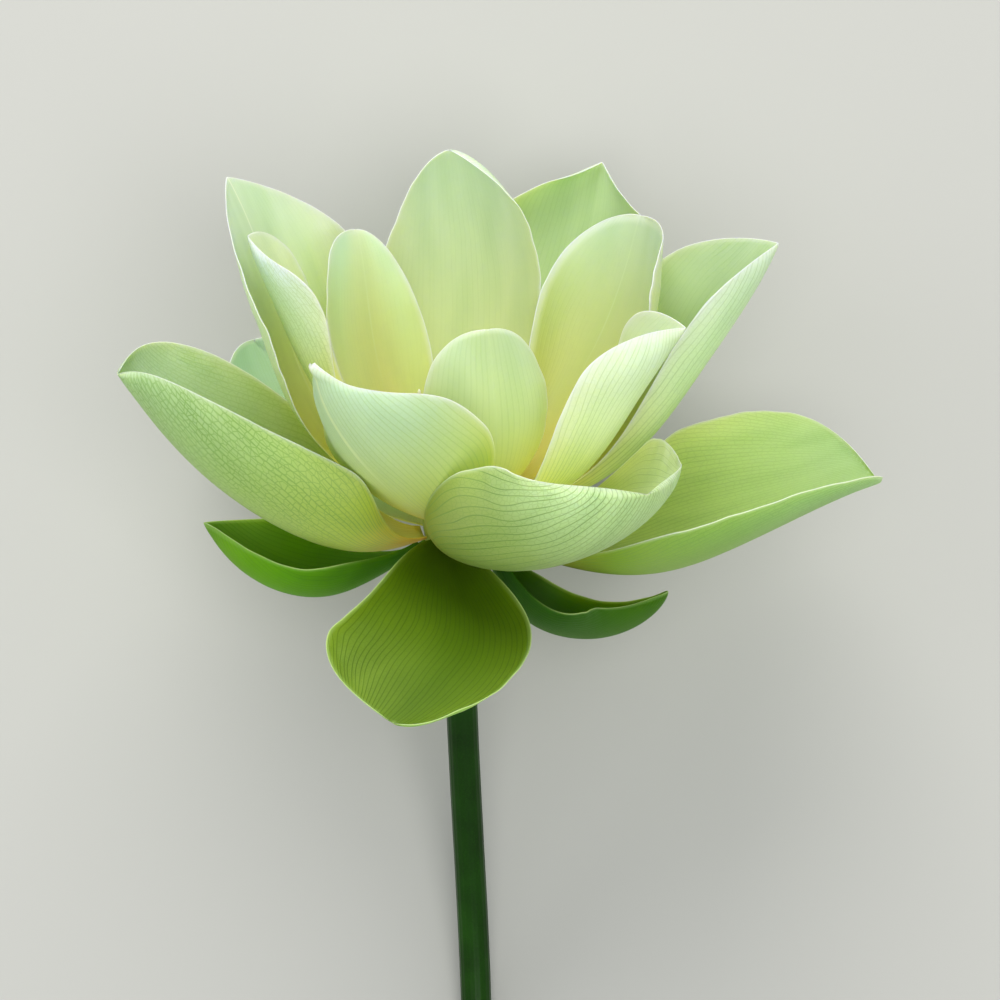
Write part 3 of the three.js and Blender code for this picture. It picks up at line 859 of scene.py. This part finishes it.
carpelBuild = {
    "circles": [(0, 1), (4.6, 5), (9.2, 10)],    # radius and count
    "dome": [(1.45, -1.2), (1.5, -0.2), (1.42, 0.25), (1.15, 0.62), (0.7, 0.85), (0.42, 0.92)],
    "stigma": [(0.4, 0.86), (0.62, 1.02), (0.66, 1.16), (0.5, 1.26), (0.22, 1.2), (0.0, 1.12)],
    "sunk": 0.35,          # how far the carpels stand in their pits, as a share of the pits' depth
    "sides": 20,
}


# Body turned about the flower's axis: one ring for each point, closed on the axis at both ends
def turned(outline, sides):
    turn = turnsRound(sides)
    rings = [np.stack([r * np.cos(turn), r * np.sin(turn), 0 * turn + z], axis=1) for r, z in outline]
    points = np.concatenate([*rings, [[0, 0, outline[0][1]], [0, 0, outline[-1][1]]]])
    return points, [face[:1] + face[:0:-1] for face in closedFaces(len(outline), sides)]


# A smooth line through the points of an outline
def smoothed(outline, steps):
    points = np.array(outline, float)
    padded = np.concatenate([[2 * points[0] - points[1]], points, [2 * points[-1] - points[-2]]])
    line = []
    for a, b, c, d in zip(padded, padded[1:], padded[2:], padded[3:]):
        for t in np.arange(steps) / steps:
            line.append(((2 * b) + (c - a) * t + (2 * a - 5 * b + 4 * c - d) * t ** 2
                         + (3 * b - a - 3 * c + d) * t ** 3) / 2)
    return [*line, points[-1]]


def joined(bodies):
    faces, start = [], 0
    for points, bodyFaces in bodies:
        faces += [[start + k for k in face] for face in bodyFaces]
        start += len(points)
    return np.concatenate([points for points, _ in bodies]), faces


def carpelPlaces():
    for radius, count in carpelBuild["circles"]:
        for k in range(count):
            turn = 2 * math.pi * k / count
            yield np.array([radius * math.cos(turn), radius * math.sin(turn)])


def receptacleBody():
    build = receptacleBuild
    side = smoothed(build["outline"], build["steps"])
    edge, rimHeight = side[-1]
    shares = np.linspace(1, 0, build["topRings"] + 1)[1:-1]
    rises = eased(1 - shares, 0, build["topRounding"])
    top = zip(edge * shares, between(rimHeight, build["topHeight"], rises))
    points, faces = turned([*side, *top], build["sides"])
    radius = np.linalg.norm(points[:, :2], axis=1)
    height = points[:, 2].copy()
    ribs = np.cos(build["ribs"] * np.arctan2(points[:, 1], points[:, 0]))
    onSide = eased(height, *build["ribStart"]) * (1 - eased(height, *build["ribEnd"]))
    points[:, :2] *= (1 + build["ribDepth"] * ribs * onSide)[:, None]
    onTop = (height > build["topHeight"] - 0.6) & (radius < edge - 0.2)
    lipHeight, lipPlace, lipWidth = build["pitLip"]
    for place in carpelPlaces():
        away = np.linalg.norm(points[:, :2] - place, axis=1) / build["pitRadius"]
        points[:, 2] -= onTop * build["pit"] * np.exp(-away ** 4)
        points[:, 2] += onTop * lipHeight * np.exp(-((away - lipPlace) / lipWidth) ** 2)
    return points, faces


def receptacleMaterial():
    material, paint = newMaterial("receptacle_skin")
    place = paint.node("TexCoord", output="Object")
    height = paint.reading("height")
    blotch = paint.noise(place, 160.0, 3.0)
    colour = height.ramp(receptacleBuild["colours"])
    colour = (blotch.eased(0.35, 0.75) * 0.35).mixed(colour, tint(receptacleBuild["blotch"]))
    pores = paint.noise(place, 900.0, 2.0)
    sockets = {
        "Base Color": colour, "Roughness": 0.5 + pores * 0.15, "Subsurface Weight": 0.6,
        "Subsurface Scale": 2.0 * mm, "Subsurface Radius": (1.0, 0.8, 0.3),
    }
    dress(paint, sockets, pores, 0.06)
    return material


# Skin of the small parts, coloured from low to high by the mesh's reading "share"
def simpleSkin(name, low, high, scale, relief, rough=0.5, glow=0.8):
    material, paint = newMaterial(name)
    place = paint.node("TexCoord", output="Object")
    mottle = paint.noise(place, scale, 3.0)
    colour = paint.reading("share").ramp([(0, low), (1, high)])
    colour = (mottle.eased(0.4, 0.8) * 0.3).mixed(colour, tint(low))
    sockets = {
        "Base Color": colour, "Roughness": rough + mottle * 0.15, "Subsurface Weight": glow,
        "Subsurface Scale": 1.0 * mm, "Subsurface Radius": (1.0, 0.9, 0.5),
    }
    dress(paint, sockets, mottle, relief)
    return material


points, faces = receptacleBody()
skin = receptacleMaterial()
slot = "receptacle_yellow"
receptacle = newPiece("receptacle_cone", laidDown(points) + shift, faces, skin, slot, "receptacle")
lowest = receptacleBuild["outline"][0][1]
addReadings(receptacle.data, {"height": (points[:, 2] - lowest) / (receptacleBuild["topHeight"] - lowest)})


# The same small body on every carpel
def onCarpels(outline):
    points, faces = turned(outline, carpelBuild["sides"])
    lift = receptacleBuild["topHeight"] - receptacleBuild["pit"] * carpelBuild["sunk"]
    return joined([(points + [*place, lift], faces) for place in carpelPlaces()])


for name, outline, low, high in (
    ("carpels", carpelBuild["dome"], "#8fae3a", "#dfe07c"),
    ("stigmas", carpelBuild["stigma"], "#c9a93a", "#efe18a"),
):
    points, faces = onCarpels(outline)
    skin = simpleSkin(name + "_skin", low, high, 700.0, 0.03)
    piece = newPiece(name, laidDown(points) + shift, faces, skin, slot, "receptacle")
    height = points[:, 2]
    addReadings(piece.data, {"share": (height - height.min()) / np.ptp(height)})
print("receptacle and its carpels")


# Stamens: a pale filament, a golden anther and a pale club on top, in three circles

stamenBuild = {
    "circles": [                # count, radius in mm, lean in degrees, and length as a share
        (46, 10.9, 12, 0.84), (58, 11.5, 17, 0.92), (66, 12.0, 22, 1.0),
    ],
    "placeSpread": 0.25,        # as a share of the room that a stamen has
    "leanSpread": 2.6,          # degrees
    "lengthSpread": 0.07,
    "root": 10.6,               # height on the receptacle, mm
    "bow": 1.5,                 # how far a stamen bows outwards at most, mm
    "leastBow": 0.2,            # as a share of that
    "swing": 0.8,               # how far it bows sideways at most, mm
    "filamentTop": 13.6,        # heights, mm
    "antherTop": 20.8,
    "clubTop": 24.2,
    "overlap": 0.2,             # how far one stretch reaches into the one below it, mm
    "clubHook": 0.9,            # how far the club bends inwards, mm
    "seed": 11,
}
# Share of its length and radius in mm, the rings and sides of its tube, how flat it is, name and colours
stretchBuild = {
    "filament": {
        "radii": [(0.0, 0.5), (0.2, 0.34), (1.0, 0.3)],
        "rings": 9, "sides": 6, "flatten": 1.0, "piece": "filaments", "colours": ("#efe9b8", "#f4f0cf"),
    },
    "anther": {
        "radii": [(0.0, 0.3), (0.06, 0.62), (0.5, 0.74), (0.92, 0.6), (1.0, 0.3)],
        "rings": 9, "sides": 8, "flatten": 0.75, "piece": "anthers", "colours": ("#dca928", "#f0c848"),
    },
    "club": {
        "radii": [(0.0, 0.26), (0.3, 0.3), (0.6, 0.48), (0.85, 0.46), (1.0, 0.12)],
        "rings": 8, "sides": 7, "flatten": 1.0, "piece": "anther_clubs", "colours": ("#f3eccb", "#fbf8e6"),
    },
}
collarBuild = {
    "outline": [(9.4, 8.9), (11.6, 9.3), (12.5, 10.0), (12.4, 11.0), (11.5, 11.8), (9.6, 12.0)],
    "sides": 72,
}


# Tube along a line, with a radius at each of its points, closed at both ends
def tube(line, radii, sides, flatten=1.0):
    aside, upward = squareTo(line, [0.0, 1.0, 0.0])
    turn = turnsRound(sides)
    ring = aside[:, None] * np.cos(turn)[:, None] + upward[:, None] * (np.sin(turn) * flatten)[:, None]
    points = np.concatenate([(line[:, None] + ring * radii[:, None, None]).reshape(-1, 3), line[[0, -1]]])
    return points, closedFaces(len(line), sides)


# Turned about the flower's axis
def spun(points, turn):
    x, y, z = points.T
    cos, sin = math.cos(turn), math.sin(turn)
    return np.stack([x * cos - y * sin, x * sin + y * cos, z], axis=1)


def stamenBodies():
    build = stamenBuild
    draw = random.Random(build["seed"])
    tops = [0.0, build["filamentTop"], build["antherTop"], build["clubTop"]]
    bodies = {stretch: [] for stretch in stretchBuild}
    spread = build["placeSpread"]
    for circle, (count, radius, lean, length) in enumerate(build["circles"]):
        for k in range(count):
            turn = 2 * math.pi * (k + circle / 3 + draw.uniform(-spread, spread)) / count
            tilt = math.radians(lean + draw.uniform(-1, 1) * build["leanSpread"])
            tall = length * (1 + draw.uniform(-1, 1) * build["lengthSpread"])
            bow = build["bow"] * draw.uniform(build["leastBow"], 1)
            swing = draw.uniform(-build["swing"], build["swing"])
            for (stretch, shape), low, high in zip(stretchBuild.items(), tops, tops[1:]):
                share = np.linspace(0, 1, shape["rings"])
                height = between(low - build["overlap"] * (low > 0), high, share)
                arc = math.pi * height / build["clubTop"]
                out = bow * np.sin(arc) - build["clubHook"] * eased(height, *tops[2:])
                up = height * tall
                line = np.stack([
                    out * math.cos(tilt) + up * math.sin(tilt) + radius,
                    swing * np.sin(arc * 0.5),
                    up * math.cos(tilt) - out * math.sin(tilt) + build["root"],
                ], axis=1)
                radii = np.interp(share, *zip(*shape["radii"]))
                points, faces = tube(line, radii, shape["sides"], shape["flatten"])
                bodies[stretch].append((spun(points, turn), faces))
    return bodies


for stretch, bodies in stamenBodies().items():
    name, (low, high) = (stretchBuild[stretch][key] for key in ("piece", "colours"))
    if stretch == "filament":
        bodies.append(turned(collarBuild["outline"], collarBuild["sides"]))
    points, faces = joined(bodies)
    skin = simpleSkin(name + "_skin", low, high, 1400.0, 0.03, 0.55, 0.5)
    piece = newPiece(name, laidDown(points) + shift, faces, skin, "stamen_yellow", "stamens")
    addReadings(piece.data, {"share": np.clip((points[:, 2] - 10) / 24, 0, 1)})
print("stamens:", sum(count for count, *_ in stamenBuild["circles"]))


# Stem, which bends down to the surface and ends in a clean cut with air channels in it

stemBuild = {
    "radius": 4.5,
    "top": -7.9,                 # height on the flower's axis, mm
    "end": (5, -149, 0),         # in the lying frame, before the shift
    "reach": (62, 40),           # how far the two ends keep their direction, mm
    "sides": 64,
    "steps": 150,
    "flare": 0.75,               # how much wider the stem is under the flower, mm
    "flareLength": 5,
    "ridges": 17,
    "ridgeDepth": 0.06,
    "unevenness": 0.16,
    "unevenLength": 26,
    "channels": [(0, 0.75, 1), (2.05, 0.72, 7), (3.35, 0.3, 14)],    # distance, radius, count
    "channelDepth": 5,
    "channelTaper": 0.8,
    "channelSides": 16,
    "sharpEdge": 50,             # degrees
    "clouds": [(0.3, "#0e2c00"), (0.5, "#143a00"), (0.7, "#1c4804")],
    "pores": "#2c6410",
    "cutColour": "#c3d08c",
    "cutDepth": (0.02, 0.12),    # the cut's colour ends between these distances from it, mm
}


def stemLine():
    build = stemBuild
    start = laidDown(np.array([0.0, 0.0, build["top"]]))
    down = laidDown(np.array([0.0, 0.0, -1.0])) - laidDown(np.zeros(3))
    foot = np.array([*build["end"][:2], build["radius"]])
    ends = (start, start + down * build["reach"][0], foot + [0, build["reach"][1], 0], foot)
    return curvePoint(ends, np.linspace(0, 1, build["steps"] + 1)) + shift


def stemBody():
    build = stemBuild
    line = stemLine()
    along = np.concatenate([[0], np.cumsum(np.linalg.norm(np.diff(line, axis=0), axis=1))])
    radii = build["radius"] + build["flare"] * (1 - eased(along, 0, build["flareLength"]))
    places = (Vector((s / build["unevenLength"], 0.3, 5.1)) for s in along)
    swell = np.array([noise.noise(place) for place in places]) * build["unevenness"]
    aside, upward = squareTo(line, [1.0, 0.0, 0.0])
    turn = turnsRound(build["sides"])
    ridge = build["ridgeDepth"] * np.cos(build["ridges"] * turn)
    across = (radii - build["ridgeDepth"] + np.minimum(swell, 0))[:, None] + ridge
    ring = aside[:, None] * np.cos(turn)[:, None] + upward[:, None] * np.sin(turn)[:, None]
    points = (line[:, None] + ring * across[..., None]).reshape(-1, 3)
    points[:, 2] = np.maximum(points[:, 2], 0)
    sides, last = build["sides"], build["steps"] * build["sides"]
    ends = [list(range(sides)), list(range(last, last + sides))[::-1]]
    return points, bandFaces(build["steps"] + 1, sides) + ends


def channelCutter():
    build = stemBuild
    line = stemLine()
    back = unit(line[-2] - line[-1])
    aside = unit(np.cross(back, [0.0, 0.0, 1.0]))
    upward = np.cross(aside, back)
    bodies = []
    for distance, radius, count in build["channels"]:
        for k in range(count):
            turn = 2 * math.pi * (k + 0.5) / count
            centre = line[-1] + (aside * math.cos(turn) + upward * math.sin(turn)) * distance
            ends = np.stack([centre - back, centre + back * build["channelDepth"]])
            radii = np.array([radius, radius * build["channelTaper"]])
            bodies.append(tube(ends, radii, build["channelSides"]))
    return joined(bodies)


def stemMaterial():
    build = stemBuild
    material, paint = newMaterial("stem_skin")
    place = paint.node("TexCoord", output="Object")
    pores = paint.noise(place, 1900.0, 2.0)
    colour = paint.noise(place, 45.0, 2.0).ramp(build["clouds"])
    colour = (pores.eased(0.5, 0.75) * 0.12).mixed(colour, tint(build["pores"]))
    lengthwise = paint.node("SeparateXYZ", {}, {"Vector": place}, "Y") * (1 / mm)
    low, high = (stemLine()[-1][1] + depth for depth in build["cutDepth"])
    colour = lengthwise.eased(high, low).mixed(colour, tint(build["cutColour"]))
    sockets = {
        "Base Color": colour, "Roughness": 0.3 + pores * 0.15, "Subsurface Weight": 0.2,
        "Subsurface Scale": 2.0 * mm, "Subsurface Radius": (0.6, 1.0, 0.3), "Specular IOR Level": 0.15,
    }
    dress(paint, sockets, pores, 0.01)
    return material


def removeByCut(piece, cutter):
    cut = piece.modifiers.new("channels", "BOOLEAN")
    cut.operation = "DIFFERENCE"
    cut.solver = "EXACT"
    cut.object = cutter
    dressed = piece.evaluated_get(bpy.context.evaluated_depsgraph_get())
    mesh = bpy.data.meshes.new_from_object(dressed)
    piece.modifiers.clear()
    piece.data = mesh
    bpy.data.objects.remove(cutter)


points, faces = channelCutter()
cutterMesh = bpy.data.meshes.new("channel_cutter")
cutterMesh.from_pydata((points * mm).tolist(), [], faces)
stem = newPiece("stalk", *stemBody(), stemMaterial(), "stem_green", "stem")
removeByCut(stem, newObject("channel_cutter", cutterMesh))
stem.data.set_sharp_from_angle(angle=math.radians(stemBuild["sharpEdge"]))
print("stem with its cut end:", len(stem.data.polygons), "faces")


# Camera, floor and soft studio light

cameraBuild = {
    "distance": 1000,           # from the flower's base to the camera, mm
    "scale": 0.28,              # mm for each pixel of the 1000 x 1000 picture, at the flower's base
    "basePixel": (458, 525),    # where the flower's base is in the picture
    "pictureSize": 1000,
    "tilt": 20,                 # how far the camera looks down on the flower, degrees
    "sensor": 36,               # mm
    "clip": (0.05, 50),         # nearest and farthest that it sees, metres
}


def addCamera():
    build = cameraBuild
    tilt = math.radians(build["tilt"])
    origin = laidDown(np.zeros(3)) + shift

    def turnedDown(direction):
        return laidDown(np.array(direction)) - laidDown(np.zeros(3))

    right = turnedDown([1.0, 0.0, 0.0])
    upward = turnedDown([0.0, math.sin(tilt), math.cos(tilt)])
    forward = turnedDown([0.0, math.cos(tilt), -math.sin(tilt)])
    middle = build["pictureSize"] / 2
    aside, above = middle - build["basePixel"][0], build["basePixel"][1] - middle
    target = origin + (right * aside + upward * above) * build["scale"]
    camera = bpy.data.cameras.new("camera")
    camera.sensor_width = build["sensor"]
    camera.lens = camera.sensor_width * build["distance"] / (build["scale"] * build["pictureSize"])
    camera.clip_start, camera.clip_end = build["clip"]
    holder = newObject("camera", camera)
    place = (target - forward * build["distance"]) * mm
    axes = np.stack([right, upward, -forward], axis=1)
    holder.matrix_world = Matrix.Translation(Vector(place)) @ Matrix(axes.tolist()).to_4x4()
    bpy.context.scene.camera = holder


floorBuild = {"reach": 6.0, "colour": "#bdbcb6", "roughness": 0.9}    # reach to each side in metres


def addFloor():
    size = floorBuild["reach"]
    mesh = bpy.data.meshes.new("floor")
    corners = [(-size, -size, 0), (size, -size, 0), (size, size, 0), (-size, size, 0)]
    mesh.from_pydata(corners, [], [(0, 1, 2, 3)])
    material, paint = newMaterial("pale_floor")
    sockets = {"Base Color": tint(floorBuild["colour"]), "Roughness": floorBuild["roughness"]}
    shader = paint.node("BsdfPrincipled", {}, sockets, "BSDF")
    paint.node("OutputMaterial", {}, {"Surface": shader})
    mesh.materials.append(material)
    newObject("floor", mesh)


studioLights = {
    # place and size of the panel in metres, power in watts
    "key": {"place": (-0.1, 1.35, 0.95), "size": 1.3, "power": 19, "colour": (1.0, 0.99, 0.96)},
    "front": {"place": (0.15, -0.4, 1.5), "size": 1.2, "power": 13, "colour": (1.0, 1.0, 0.99)},
    "side": {"place": (-1.3, 0.2, 0.5), "size": 0.9, "power": 4, "colour": (0.95, 0.98, 1.0)},
}
worldLight = {"colour": (0.9, 0.95, 1.0, 1.0), "strength": 0.5}


def addLights():
    target = Vector((laidDown(np.zeros(3)) + shift) * mm)
    for name, build in studioLights.items():
        light = bpy.data.lights.new(name, "AREA")
        light.shape = "DISK"
        light.size = build["size"]
        light.energy = build["power"]
        light.color = build["colour"]
        holder = newObject(name, light)
        holder.location = build["place"]
        holder.rotation_mode = "QUATERNION"
        holder.rotation_quaternion = (target - holder.location).to_track_quat("-Z", "Y")
    world = bpy.data.worlds.new("studio")
    world.use_nodes = True
    sky = world.node_tree.nodes["Background"]
    sky.inputs["Color"].default_value = worldLight["colour"]
    sky.inputs["Strength"].default_value = worldLight["strength"]
    bpy.context.scene.world = world


addCamera()
addFloor()
addLights()
bpy.context.scene.view_settings.view_transform = "Standard"
print("camera, floor and lights")
